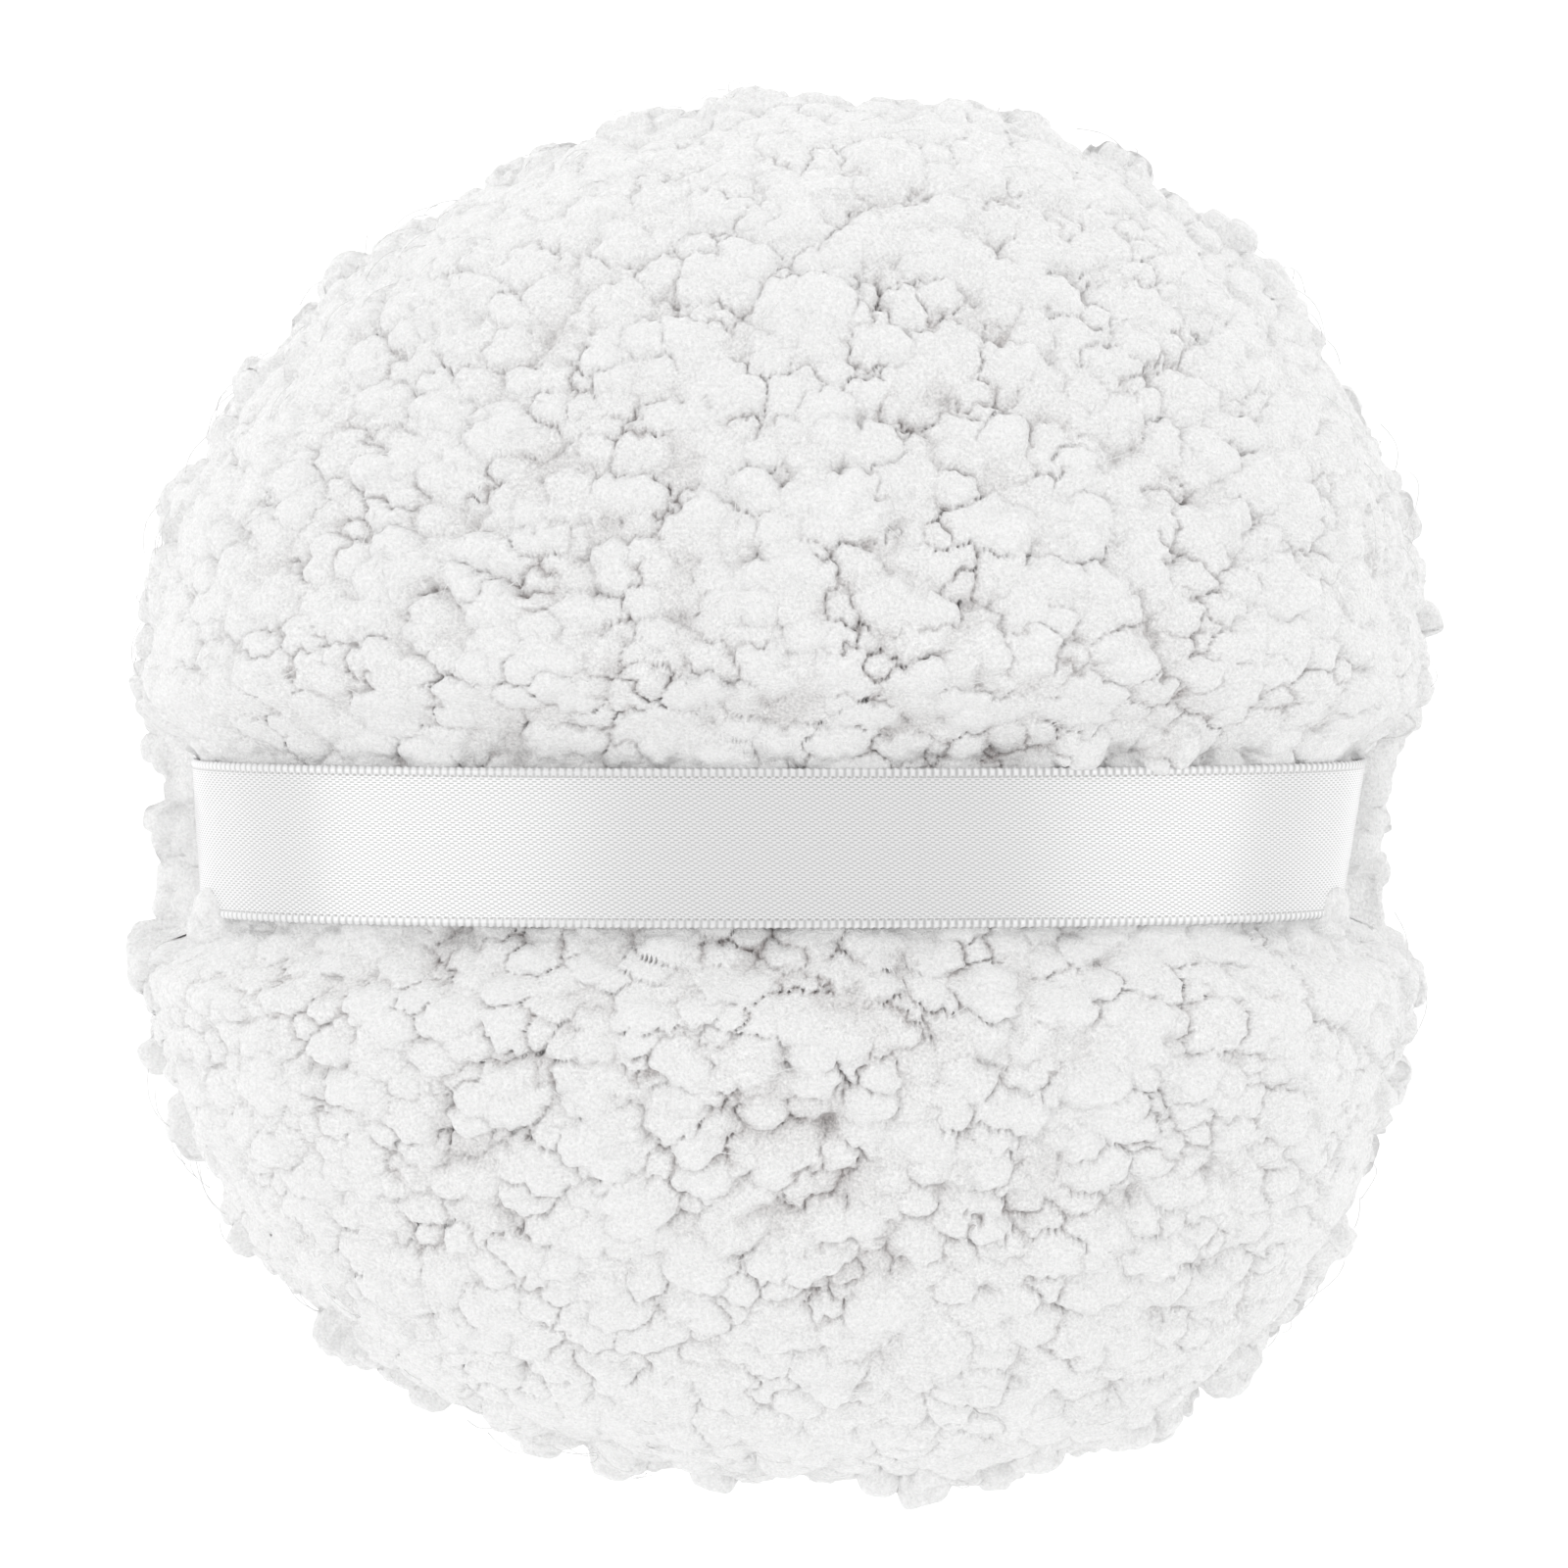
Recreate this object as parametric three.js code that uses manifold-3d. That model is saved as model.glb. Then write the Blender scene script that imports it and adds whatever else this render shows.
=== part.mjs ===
// Round plush powder puff with a satin finger strap, in millimetres, +Z up.
// Two round panels of pile cloth are sewn together at a seam, turned right side out, stuffed and
// closed by hand. The puff lies on its face panel. A ribbon crosses the back panel along X, with
// both ends caught in the seam.
// The origin is at the middle of the puff, on the surface that it lies on.
import * as THREE from "three";
import { mergeGeometries, mergeVertices } from "three/addons/utils/BufferGeometryUtils.js";
import Module from "manifold-3d";

const wasm = await Module();
wasm.setup();

// Plan outline: a superellipse, drawn in where the strap ends pull on the seam
const PUFF_WIDTH = 86; // along X, before the strap draws it in
const PUFF_LENGTH = 91.5; // along Y
const OUTLINE_POWER = 2.2;
const WAIST_DEPTH = 3.3;
const WAIST_REACH = 6.5; // along Y, where the waist has faded to about a third
const WAIST_FADE = 4; // the waist fades towards the crowns as this power of the distance from the middle

// Heights
const SEAM_HEIGHT = 19; // from the table to the middle of the seam
const BACK_RISE = 23; // from the seam to the crown of the back
const FACE_DROP = 20.2; // from the seam to the crown of the face, before the puff's weight flattens it
const CROWN_POWER = 2.3;
const STRAP_DIP = 1.8; // how far the strap draws the back down into a shallow valley
const DIP_REACH = 8; // along Y, where the valley has faded to about a third

// Cloth, thread and stuffing
const PILE_DEPTH = 6.5;
const GROUND_THICKNESS = 0.8;
const SEAM_ALLOWANCE = 5.5;
const STITCH_INSET = 2.6; // from the outer edge of the ground cloth to the stitch line
const STITCH_LENGTH = 5;
const HAND_STITCH_LENGTH = 7;
const THREAD_DIAMETER = 0.5;
const TURNING_GAP = 42; // length of seam left open for turning and stuffing, then closed by hand
const TURNING_GAP_ANGLE = Math.PI / 2; // at the far side of the puff, away from the strap ends

// Strap
const STRAP_WIDTH = 10;
const STRAP_THICKNESS = 0.4;
const STRAP_OFFSET = -3; // along Y, from the middle of the puff
const STRAP_PRESS = 2.5; // how far the ribbon sinks below the tips of the pile
const STRAP_SPAN = 18; // length of the middle stretch that the fingers lift
const STRAP_FOLD_RADIUS = 1; // where the ribbon turns into the seam

// Clearance between neighbouring pieces
const FIT_GAP = 0.3;

// Facets
const AROUND_OUTER = 64;
const AROUND_INNER = 40;
const RINGS_OUTER = 10;
const RINGS_INNER = 6;
const ARCH_STEPS = 28;
const FOLD_STEPS = 3;

// Layers, as insets from the tips of the pile
const GROUND_INSET = PILE_DEPTH + FIT_GAP;
const LINING_INSET = GROUND_INSET + GROUND_THICKNESS;
const FILLING_INSET = LINING_INSET + FIT_GAP;
const STITCH_LINE_INSET = GROUND_INSET + STITCH_INSET;
const ALLOWANCE_INSET = GROUND_INSET + SEAM_ALLOWANCE;

// The two halves of the puff, on either side of the seam
const BACK = { rise: BACK_RISE, dip: STRAP_DIP };
const FACE = { rise: FACE_DROP, dip: 0 };

// Levels above the middle of the seam; the face panel has the same ones below it
const PILE_LEVEL = FIT_GAP / 2; // the pile of the two panels meets over the seam
const CLOTH_LEVEL = STRAP_THICKNESS / 2 + FIT_GAP; // the ribbon end lies between the two panels
const ALLOWANCE_LEVEL = CLOTH_LEVEL + GROUND_THICKNESS;
const THREAD_LEVEL = ALLOWANCE_LEVEL + FIT_GAP + THREAD_DIAMETER / 2;
const FILLING_LEVEL = THREAD_LEVEL + THREAD_DIAMETER / 2 + FIT_GAP;
const SKIRT = FILLING_LEVEL + FIT_GAP; // how far a cutting solid runs on past the plane that it cuts

const HOLE_SIDE = THREAD_DIAMETER + 2 * FIT_GAP;

// Axes that a mirror image turns round
const ACROSS = 0; // X, from one strap end to the other
const UP = 2; // Z

// Materials
const cloth = (color, roughness) => new THREE.MeshStandardMaterial({ color, roughness, metalness: 0 });
const PILE = cloth(0xf2f2f2, 1);
const GROUND = cloth(0xdcdcda, 0.95);
const FIBRE = cloth(0xf6f6f4, 1);
const THREAD = cloth(0xf0f0ee, 0.7);
const SATIN = cloth(0xececee, 0.35);

// Solids from geometries, and back

function solid(geometry) {
  const bare = geometry.index ? geometry.toNonIndexed() : geometry.clone();
  bare.deleteAttribute("normal");
  bare.deleteAttribute("uv");
  const merged = mergeVertices(bare, 1e-4);
  const vertProperties = new Float32Array(merged.attributes.position.array);
  const triVerts = new Uint32Array(merged.index.array);
  return new wasm.Manifold(new wasm.Mesh({ numProp: 3, vertProperties, triVerts }));
}

function geometryOf(made) {
  const { vertProperties, triVerts } = made.getMesh();
  const geometry = new THREE.BufferGeometry();
  geometry.setAttribute("position", new THREE.BufferAttribute(vertProperties, 3));
  geometry.setIndex(new THREE.BufferAttribute(triVerts, 1));
  geometry.computeVertexNormals();
  return geometry;
}

// A mirror image, with its faces still looking out.
function flipped(geometry, axis) {
  const mirror = new THREE.Vector3(1, 1, 1).setComponent(axis, -1);
  const made = geometry.clone().scale(mirror.x, mirror.y, mirror.z);
  made.setIndex(Array.from(made.index.array).reverse());
  made.computeVertexNormals();
  return made;
}

function piece(name, geometry, material) {
  const mesh = new THREE.Mesh(geometry, material);
  mesh.name = name;
  return mesh;
}

// A closed surface from rows of points, each row a ring of the same length, with a point at each end.
function capped(rows, first, last) {
  const around = rows[0].length;
  const points = [first, ...rows.flat(), last];
  const at = (row, k) => 1 + row * around + (k % around);
  const index = [];
  for (let k = 0; k < around; k++) {
    index.push(0, at(0, k), at(0, k + 1));
    for (let row = 0; row + 1 < rows.length; row++) {
      index.push(at(row, k), at(row + 1, k), at(row + 1, k + 1));
      index.push(at(row, k), at(row + 1, k + 1), at(row, k + 1));
    }
    index.push(at(rows.length - 1, k), points.length - 1, at(rows.length - 1, k + 1));
  }
  return new THREE.BufferGeometry().setFromPoints(points).setIndex(index);
}

// The puff's outline

// How much of an effect of the strap is left at a distance from it along Y.
function nearStrap(y, reach) {
  return Math.exp(-(((y - STRAP_OFFSET) / reach) ** 2));
}

// Distance from the middle to the outline, in one direction. The inset is taken from the tips of
// the pile, and the share is 1 at the seam and 0 at the crown.
function outlineRadius(angle, inset, share = 1) {
  const across = Math.abs(Math.cos(angle) / (PUFF_WIDTH / 2)) ** OUTLINE_POWER;
  const along = Math.abs(Math.sin(angle) / (PUFF_LENGTH / 2)) ** OUTLINE_POWER;
  const plain = (across + along) ** (-1 / OUTLINE_POWER);
  const waist = WAIST_DEPTH * nearStrap(plain * Math.sin(angle), WAIST_REACH);
  return share * (plain - inset) - waist * share ** WAIST_FADE;
}

function outlinePoint(angle, inset, height, share = 1) {
  const radius = outlineRadius(angle, inset, share);
  return new THREE.Vector3(radius * Math.cos(angle), radius * Math.sin(angle), height);
}

function outlineRing(around, inset, height, share = 1) {
  const angles = Array.from({ length: around }, (_, k) => (2 * Math.PI * k) / around);
  return angles.map((angle) => outlinePoint(angle, inset, height, share));
}

// The upper half of a puff-shaped solid, which runs on straight below the seam plane.
function crown({ rise, dip }, inset, around = AROUND_INNER, rings = RINGS_INNER) {
  const rows = [];
  for (let ring = 1; ring <= rings; ring++) {
    const turn = (ring / rings) * (Math.PI / 2);
    const share = Math.sin(turn) ** (2 / CROWN_POWER);
    const lift = Math.max(0, Math.cos(turn)) ** (2 / CROWN_POWER);
    const row = outlineRing(around, inset, (rise - inset) * lift, share);
    row.forEach((point) => (point.z -= dip * lift * nearStrap(point.y, DIP_REACH)));
    rows.push(row);
  }
  rows.push(outlineRing(around, inset, -SKIRT));
  const top = rise - inset - dip * nearStrap(0, DIP_REACH);
  return solid(capped(rows, new THREE.Vector3(0, 0, top), new THREE.Vector3(0, 0, -SKIRT)));
}

// All space below a level.
function spaceBelow(level) {
  const side = 2 * PUFF_LENGTH;
  return solid(new THREE.BoxGeometry(side, side, side).translate(0, 0, level - side / 2));
}

// A straight-sided solid with the puff's outline.
function outlinePrism(inset, low, high) {
  const rows = [outlineRing(AROUND_INNER, inset, high), outlineRing(AROUND_INNER, inset, low)];
  return solid(capped(rows, new THREE.Vector3(0, 0, high), new THREE.Vector3(0, 0, low)));
}

// Stitches

// Angles at which a run of stitches goes through the cloth, with an even number of steps.
function stitchAngles(from, to, length) {
  const radius = (PUFF_WIDTH + PUFF_LENGTH) / 4 - STITCH_LINE_INSET;
  const count = 2 * Math.max(1, Math.round(((to - from) * radius) / length / 2));
  return Array.from({ length: count + 1 }, (_, k) => from + ((to - from) * k) / count);
}

// A thread of square section that runs above and below the seam by turns, straight through the
// cloth between.
function runningThread(angles) {
  const route = [];
  angles.forEach((angle, k) => {
    const side = k % 2 ? -1 : 1;
    route.push({ angle, at: outlinePoint(angle, STITCH_LINE_INSET, side * THREAD_LEVEL) });
    route.push({ angle, at: outlinePoint(angle, STITCH_LINE_INSET, -side * THREAD_LEVEL) });
  });
  const half = THREAD_DIAMETER / 2;
  const outward = route.map(({ angle }) => new THREE.Vector3(Math.cos(angle), Math.sin(angle), 0));
  const sideways = (k) => {
    const way = route[k + 1].at.clone().sub(route[k].at).normalize();
    return way.cross(outward[k]).normalize();
  };
  const rows = route.map(({ at }, k) => {
    const before = sideways(Math.max(0, k - 1));
    const after = sideways(Math.min(route.length - 2, k));
    const mitre = before.clone().add(after).divideScalar(1 + before.dot(after));
    const corners = [[1, 1], [1, -1], [-1, -1], [-1, 1]];
    return corners.map(([out, over]) =>
      at.clone().addScaledVector(outward[k], out * half).addScaledVector(mitre, over * half));
  });
  return solid(capped(rows, route[0].at, route.at(-1).at));
}

// Square holes for a run of stitches, right through both panels.
function stitchHoles(angles) {
  const holes = angles.map((angle) => {
    const hole = new THREE.BoxGeometry(HOLE_SIDE, HOLE_SIDE, 2 * FILLING_LEVEL);
    const { x, y, z } = outlinePoint(angle, STITCH_LINE_INSET, 0);
    return hole.rotateZ(angle).translate(x, y, z);
  });
  return solid(mergeGeometries(holes));
}

// Strap

const atStrap = Math.atan2(STRAP_OFFSET, PUFF_WIDTH / 2);
const strapReach = outlineRadius(atStrap, STRAP_PRESS) * Math.cos(atStrap);
const strapRise = BACK_RISE - STRAP_DIP - STRAP_PRESS - STRAP_FOLD_RADIUS;
const strapEnd = outlineRadius(atStrap, ALLOWANCE_INSET) * Math.cos(atStrap);

// The ribbon's middle line in the XZ plane, from the crown to the end in the seam: an arch and a
// fold. Each point has its place and the direction that the ribbon's upper face looks in.
function strapLine() {
  const line = [];
  for (let k = 0; k <= ARCH_STEPS; k++) {
    const turn = (k / ARCH_STEPS) * (Math.PI / 2);
    const x = strapReach * Math.sin(turn) ** (2 / CROWN_POWER);
    const z = STRAP_FOLD_RADIUS + strapRise * Math.max(0, Math.cos(turn)) ** (2 / CROWN_POWER);
    const slope = new THREE.Vector2(
      (x / strapReach) ** (CROWN_POWER - 1) / strapReach,
      ((z - STRAP_FOLD_RADIUS) / strapRise) ** (CROWN_POWER - 1) / strapRise,
    );
    line.push({ at: new THREE.Vector2(x, z), up: slope.normalize() });
  }
  for (let k = 1; k <= FOLD_STEPS; k++) {
    const turn = (k / FOLD_STEPS) * (Math.PI / 2);
    const up = new THREE.Vector2(Math.cos(turn), -Math.sin(turn));
    const middle = new THREE.Vector2(strapReach - STRAP_FOLD_RADIUS, STRAP_FOLD_RADIUS);
    line.push({ at: middle.addScaledVector(up, STRAP_FOLD_RADIUS), up });
  }
  return line;
}

// The same line cut at a distance from the middle, keeping what lies inside or outside it on the arch.
function cutLine(line, x) {
  const k = line.findIndex(({ at }) => at.x > x);
  const [a, b] = [line[k - 1], line[k]];
  const share = (x - a.at.x) / (b.at.x - a.at.x);
  const cut = { at: a.at.clone().lerp(b.at, share), up: a.up.clone().lerp(b.up, share).normalize() };
  return { inside: [...line.slice(0, k), cut], outside: [cut, ...line.slice(k)] };
}

const moved = (line, by) => line.map(({ at, up }) => at.clone().addScaledVector(up, by));
const mirrored = (points) => points.map(({ x, y }) => new THREE.Vector2(-x, y)).reverse();

// An outline in the XZ plane, carried across the strap's width.
function acrossStrap(points, width) {
  const made = new THREE.ExtrudeGeometry(new THREE.Shape(points), { depth: width, bevelEnabled: false });
  return solid(made.rotateX(Math.PI / 2).translate(0, STRAP_OFFSET + width / 2, 0));
}

const wholeLine = strapLine();
const tail = { at: new THREE.Vector2(strapEnd, 0), up: new THREE.Vector2(0, -1) };

function strapSpan() {
  const { inside } = cutLine(wholeLine, STRAP_SPAN / 2);
  const upper = moved(inside, STRAP_THICKNESS / 2);
  const lower = moved(inside, -STRAP_THICKNESS / 2);
  const under = [...mirrored(lower.slice(1)), ...lower];
  const over = [...upper.reverse(), ...mirrored(upper.slice().reverse().slice(1)).reverse()];
  return acrossStrap([...under, ...over], STRAP_WIDTH);
}

// One end of the ribbon, on the +X side: from the span down the side of the puff and into the
// seam, with a margin all round.
function strapArm(margin = 0) {
  const { outside } = cutLine(wholeLine, STRAP_SPAN / 2 + FIT_GAP);
  const arm = [...outside, tail];
  const lower = moved(arm, -STRAP_THICKNESS / 2 - margin);
  const upper = moved(arm, STRAP_THICKNESS / 2 + margin);
  return acrossStrap([...lower, ...upper.reverse()], STRAP_WIDTH + 2 * margin);
}

// The room that the ribbon presses into the pile: all that lies above the ribbon's underside.
function strapChannel() {
  const lower = moved(wholeLine, -STRAP_THICKNESS / 2 - FIT_GAP);
  const beyond = PUFF_WIDTH;
  const outside = [new THREE.Vector2(beyond, -SKIRT), new THREE.Vector2(beyond, 2 * BACK_RISE)];
  const inSeam = new THREE.Vector2(lower.at(-1).x, -SKIRT);
  const right = [...lower, inSeam, ...outside];
  return acrossStrap([...mirrored(right.slice(1)), ...right], STRAP_WIDTH + 2 * FIT_GAP);
}

// Panels and stuffing, each as if it lay above the seam

function pileLayer(half) {
  const tips = crown(half, 0, AROUND_OUTER, RINGS_OUTER);
  return tips.subtract(crown(half, PILE_DEPTH)).subtract(spaceBelow(PILE_LEVEL));
}

// A dome of ground cloth with its seam allowance turned in at the foot.
function groundCloth(half) {
  const inside = crown(half, LINING_INSET).subtract(spaceBelow(ALLOWANCE_LEVEL));
  const dome = crown(half, GROUND_INSET).subtract(spaceBelow(CLOTH_LEVEL));
  return dome.subtract(inside).subtract(mouth).subtract(holes);
}

function stuffing(half) {
  return crown(half, FILLING_INSET).subtract(spaceBelow(FILLING_LEVEL));
}

// The puff, put together

const gapHalf = TURNING_GAP / ((PUFF_WIDTH + PUFF_LENGTH) / 2 - 2 * STITCH_LINE_INSET);
const handStitch = HAND_STITCH_LENGTH / ((PUFF_WIDTH + PUFF_LENGTH) / 4 - STITCH_LINE_INSET);
const machineRun = stitchAngles(
  TURNING_GAP_ANGLE + gapHalf,
  TURNING_GAP_ANGLE + 2 * Math.PI - gapHalf,
  STITCH_LENGTH,
);
const handRun = stitchAngles(
  TURNING_GAP_ANGLE - gapHalf + handStitch / 2,
  TURNING_GAP_ANGLE + gapHalf - handStitch / 2,
  HAND_STITCH_LENGTH,
);
const holes = stitchHoles([...machineRun, ...handRun]);
const mouth = outlinePrism(ALLOWANCE_INSET, -SKIRT, SKIRT);

const neck = outlinePrism(ALLOWANCE_INSET + FIT_GAP, -SKIRT, SKIRT);
const lowerStuffing = solid(flipped(geometryOf(stuffing(FACE)), UP));
const filling = stuffing(BACK).add(neck).add(lowerStuffing);

const rightArm = geometryOf(strapArm().subtract(mouth).subtract(holes));
const rightRoom = geometryOf(strapArm(FIT_GAP));
const strapRoom = solid(rightRoom).add(solid(flipped(rightRoom, ACROSS)));
const backPile = pileLayer(BACK).subtract(strapChannel()).subtract(strapRoom);
const hangingPile = solid(flipped(geometryOf(pileLayer(FACE)), UP));
const facePile = hangingPile.subtract(strapRoom).subtract(spaceBelow(-SEAM_HEIGHT));

const puff = new THREE.Group();
puff.position.z = SEAM_HEIGHT;
puff.add(
  piece("filling", geometryOf(filling), FIBRE),
  piece("back_ground", geometryOf(groundCloth(BACK)), GROUND),
  piece("face_ground", flipped(geometryOf(groundCloth(FACE)), UP), GROUND),
  piece("back_pile", geometryOf(backPile), PILE),
  piece("face_pile", geometryOf(facePile), PILE),
  piece("seam_thread", geometryOf(runningThread(machineRun)), THREAD),
  piece("closing_thread", geometryOf(runningThread(handRun)), THREAD),
  piece("strap_span", geometryOf(strapSpan()), SATIN),
  piece("strap_right_arm", rightArm, SATIN),
  piece("strap_left_arm", flipped(rightArm, ACROSS), SATIN),
);

const part = new THREE.Group();
part.add(puff);

export default part;
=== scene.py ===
"""Dresses the round plush powder puff: tufted pile, knitted ground, filling, seam threads and satin strap.

Shapes are worked out in millimetres about the middle of the seam, and go into the meshes in metres, in the
frame's own place. Plus X runs along the strap, plus Y is the top of the photograph and plus Z is the back.
"""
import math

import bpy
import numpy as np
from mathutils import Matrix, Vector


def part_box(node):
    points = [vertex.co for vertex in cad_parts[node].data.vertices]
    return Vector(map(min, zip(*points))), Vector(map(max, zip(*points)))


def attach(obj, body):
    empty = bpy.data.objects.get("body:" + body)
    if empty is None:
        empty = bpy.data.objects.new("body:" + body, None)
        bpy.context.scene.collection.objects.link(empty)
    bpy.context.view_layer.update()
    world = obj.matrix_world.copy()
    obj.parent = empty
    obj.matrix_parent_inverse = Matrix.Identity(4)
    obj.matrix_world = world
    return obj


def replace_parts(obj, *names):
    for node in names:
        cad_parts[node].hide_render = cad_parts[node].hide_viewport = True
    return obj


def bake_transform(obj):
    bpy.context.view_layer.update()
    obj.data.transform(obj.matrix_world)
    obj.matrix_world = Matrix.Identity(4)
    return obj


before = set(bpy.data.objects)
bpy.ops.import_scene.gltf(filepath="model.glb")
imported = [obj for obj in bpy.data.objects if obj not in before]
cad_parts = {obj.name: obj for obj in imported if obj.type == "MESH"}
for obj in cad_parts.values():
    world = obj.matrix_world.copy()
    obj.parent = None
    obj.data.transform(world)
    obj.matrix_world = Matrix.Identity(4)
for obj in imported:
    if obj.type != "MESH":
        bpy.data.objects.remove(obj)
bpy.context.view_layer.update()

METRE = 1000.0
RIGHT_ANGLE = math.pi / 2
WHOLE_TURN = 2 * math.pi


# Places and sizes from the frame


def node_box(*nodes):
    """Lowest and highest corner of some of the frame's nodes together, in millimetres."""
    corners = np.array([np.array(corner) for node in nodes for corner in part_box(node)]) * METRE
    return corners.min(axis=0), corners.max(axis=0)


back_low, back_high = node_box("back_pile")
face_low, face_high = node_box("face_pile")
arms_low, arms_high = node_box("strap_left_arm", "strap_right_arm")
span_low, span_high = node_box("strap_span")

SEAM_HEIGHT = (back_low[2] + face_high[2]) / 2
TABLE = face_low[2] - SEAM_HEIGHT
PUFF_LENGTH = back_high[1] - back_low[1]
STRAP_OFFSET = (arms_low[1] + arms_high[1]) / 2
STRAP_WIDTH = arms_high[1] - arms_low[1]
SPAN_HALF = (span_high[0] - span_low[0]) / 2

# The puff's form, with the values that its solids have
PUFF_WIDTH = 86.0
OUTLINE_POWER = 2.2
WAIST_DEPTH = 3.3
WAIST_REACH = 6.5
WAIST_FADE = 4
CROWN_POWER = 2.3
BACK_RISE = 23.0
FACE_DROP = 20.2
STRAP_DIP = 1.8
DIP_REACH = 8.0
PILE_DEPTH = 6.5
GROUND_INSET = 6.8
GROUND_THICKNESS = 0.8
FILLING_INSET = 7.9
ALLOWANCE_INSET = 12.3
SWELL_MEAN = -0.9
SWELL = ((0.93, -0.69), (0.08, 0.12), (-1.01, -0.16), (-0.41, 0.08), (0.02, 0.45), (-0.03, 0.2))
END_SWELL = 1.4
STRAP_PRESS = 2.5
FOLD_RADIUS = 1.0
CLOTH_LEVEL = 0.5
ALLOWANCE_LEVEL = 1.3
FILLING_LEVEL = 2.4
WAD_LUMPS = 0.012
WAD_LUMP_SIZE = 7.0

# Tufts of pile, by their half widths, and the florets that they are made of
BACK_STEPS = 560
FACE_STEPS = 400
PILE_FLOOR = 3.0
FULL_TUFTS = (1.1, 2.0)
FULL_DARTS = 20000
SMALL_TUFTS = (0.6, 1.1)
SMALL_DARTS = 45000
TUFT_STRETCH = np.array([0.77, 1, 1])
TUFT_CROWDING = 0.8
TUFT_SPREAD = 0.16
TUFT_SHOULDER = 0.4
CROWN_SHOULDER = 0.2
TUFT_SLOPE = 0.2
SLOPE_SPREAD = 0.09
TUFT_LEAN = 0.45
LEAN_FROM = -0.9
LEAN_MOST = 1.3
UPRIGHT_CROWN = 0.3
UPRIGHT_SEAM = 0.35
RIM_START = 1.1
RIM_BAND = 0.4
RIM_SPREAD = 0.2
RIM_RISE = 0.8
PITS = 0.03
PIT_DEPTH = 1.4
FLORET_SIZE = 1.25
FLORET_REACH = 1.03
FLORET_RISE = 0.28
FLORET_SPREAD = 0.06
SHOULDER_END = 1.2
SHAKE = ((0.17, 1.2), (0.04, 0.7))
GROOVE_DEPTH = 0.35
GROOVE_WIDTH = 0.08
GROOVE_RUN = 5.0
CLUMP_RISE = 0.15
CLUMP_SIZE = 7.0
MEAN_TOP = 0.4
RELIEF = ((0.0, 0.6, 1.0, 1.25, 1.45), (1.0, 0.92, 0.73, 0.57, 1.2))
# Painted shading of the pile: darker by height and in grooves, faded towards the seam as painted light,
# darkest on the inner wall
PAINTED_SHADE_FADE = ((0.0, 0.6, 1.0, 1.3), (1.0, 0.9, 0.7, 0.3))
HEIGHT_PAINTED_SHADE = 0.27
GROOVE_PAINTED_SHADE = 0.3
LINING_PAINTED_SHADE = -1.0
LOOSE_PLACE = np.array([2.0, -22.0, 14.0])
LOOSE_REACH = 17.0
LOOSE_RISE = 0.14

# How the pile meets the ribbon; a tuft by it is a side, a turn, an angle and a rise
PRESS_REACH = (2.6, 6.5)
PRESS_CLEARANCE = 0.45
PRESS_EDGE = 0.2
PRESSED_TOP = 0.1
FREE_RISE = 3.0
LAP_RELIEF = 0.3
SEAM_HOLD = 2.2
SEAM_LAP = 0.25
LAP_BAND = 0.05
SEAM_FLOOR = 0.7
SEAM_BAND = 0.3
EDGE_TUFTS = (
    (1, 0.5, 0.145, 1.4),
    (1, 0.69, 0.112, 1.4),
    (1, 1.33, -0.2, 1.4),
    (1, 1.33, math.pi + 0.205, 1.4),
    (-1, 1.53, 0.02, 0.5),
    (-1, 1.53, -0.08, 0.5),
    (-1, 1.53, -0.17, 0.5),
    (-1, 1.53, math.pi - 0.02, 0.5),
    (-1, 1.53, math.pi + 0.08, 0.5),
    (-1, 1.53, math.pi + 0.17, 0.5),
)
EDGE_TUFT_WIDTHS = (1.7, 2.1)

# Stray fibres
FIBRE_COUNT = 600
FIBRE_RADIUS = 0.03
FIBRE_LENGTH = (1.2, 4.5)
FIBRE_BEND = 0.25
FIBRE_ARCH = 0.14
FIBRE_ROOT = 0.25
FIBRE_DROOP = 0.012
FIBRE_CLEARANCE = 4.0

# Ribbon
RIBBON_HALF_THICKNESS = 0.1
RIBBON_STEP = 0.125
RIBBON_LAP = 0.6
SPAN_RAISE = 0.015
SELVEDGE = 0.53
SELVEDGE_PITCH = 0.5
CORD_RISE = 0.07
CORD_BEAT = 0.025
CORD_SWING = 0.04
FLOAT_LENGTH = 0.51
FLOAT_WIDTH = 0.145
FLOAT_OFFSET = 0.54
RIGHT_SLANT = 0.16
LEFT_SLANT = 0.06

# Photograph
IMAGE_SIDE = 1600
PIXELS_PER_MM = 15.8
CAMERA_DISTANCE = 600.0
CAMERA_TILT = math.radians(2.3)
PUFF_IN_IMAGE = (791.0, 804.5)
SENSOR = 36.0

# Light; a soft box has a name, degrees towards plus X and plus Y, a width, a length and a power
FLOOR_TONE = 0.95
FLOOR_GLOW = 0.3
SKY_OVERHEAD = 0.22
SKY_GAIN = 0.86
LAMP_DISTANCE = 0.8
LAMPS = (
    ("left_box", -36, 3, 0.3, 0.65, 1.7),
    ("right_box", 43, 3, 0.2, 0.56, 1.25),
    ("top_box", 0, 55, 0.7, 0.25, 0.5),
    ("bottom_box", 0, -55, 0.7, 0.25, 0.5),
)


# Form of the puff


def near_strap(y, reach):
    """How much of an effect of the strap is left at y: a bell curve about the strap's middle line."""
    return np.exp(-(((y - STRAP_OFFSET) / reach) ** 2))


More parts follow.
